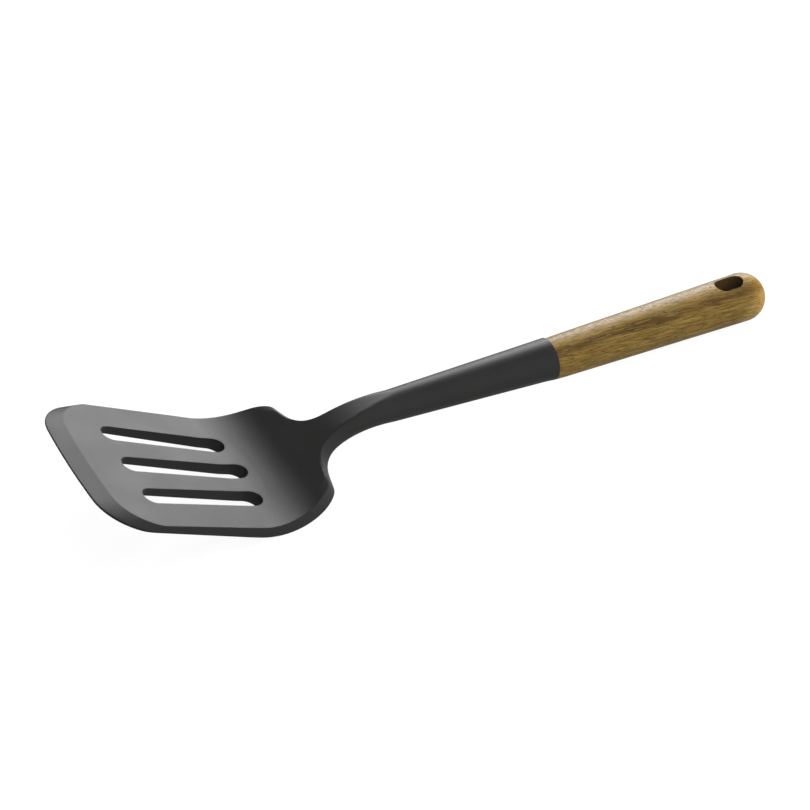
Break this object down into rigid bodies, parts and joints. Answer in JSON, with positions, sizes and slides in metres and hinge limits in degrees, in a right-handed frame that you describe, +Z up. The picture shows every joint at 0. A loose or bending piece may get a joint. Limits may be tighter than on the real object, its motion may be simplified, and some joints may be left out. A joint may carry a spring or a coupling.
{
  "type": "slotted turner",
  "caption": "Slotted kitchen turner with a matte dark grey silicone head moulded over a stiff core, on a turned hardwood handle with an oblong hanging hole.",
  "frame": {"origin": "bottom centre of the whole tool as it lies on a table, blade face up, touching at the heel of the blade and at the end of the handle", "axes": "+X from the blade's front lip towards the handle's end, +Y across the blade, +Z up"},
  "size_m": [0.3069, 0.0764, 0.0373],
  "materials": {
    "silicone": "matte, slightly soft to the touch",
    "nylon_core": "moulded, glass-filled",
    "tang_steel": "plain drawn rod",
    "handle_wood": "oiled satin, fine pores along the grip"
  },
  "bodies": {
    "root": {"silicone_head": "silicone", "blade_core": "nylon_core", "tang_rod": "tang_steel", "wood_handle": "handle_wood"}
  },
  "joints": []
}
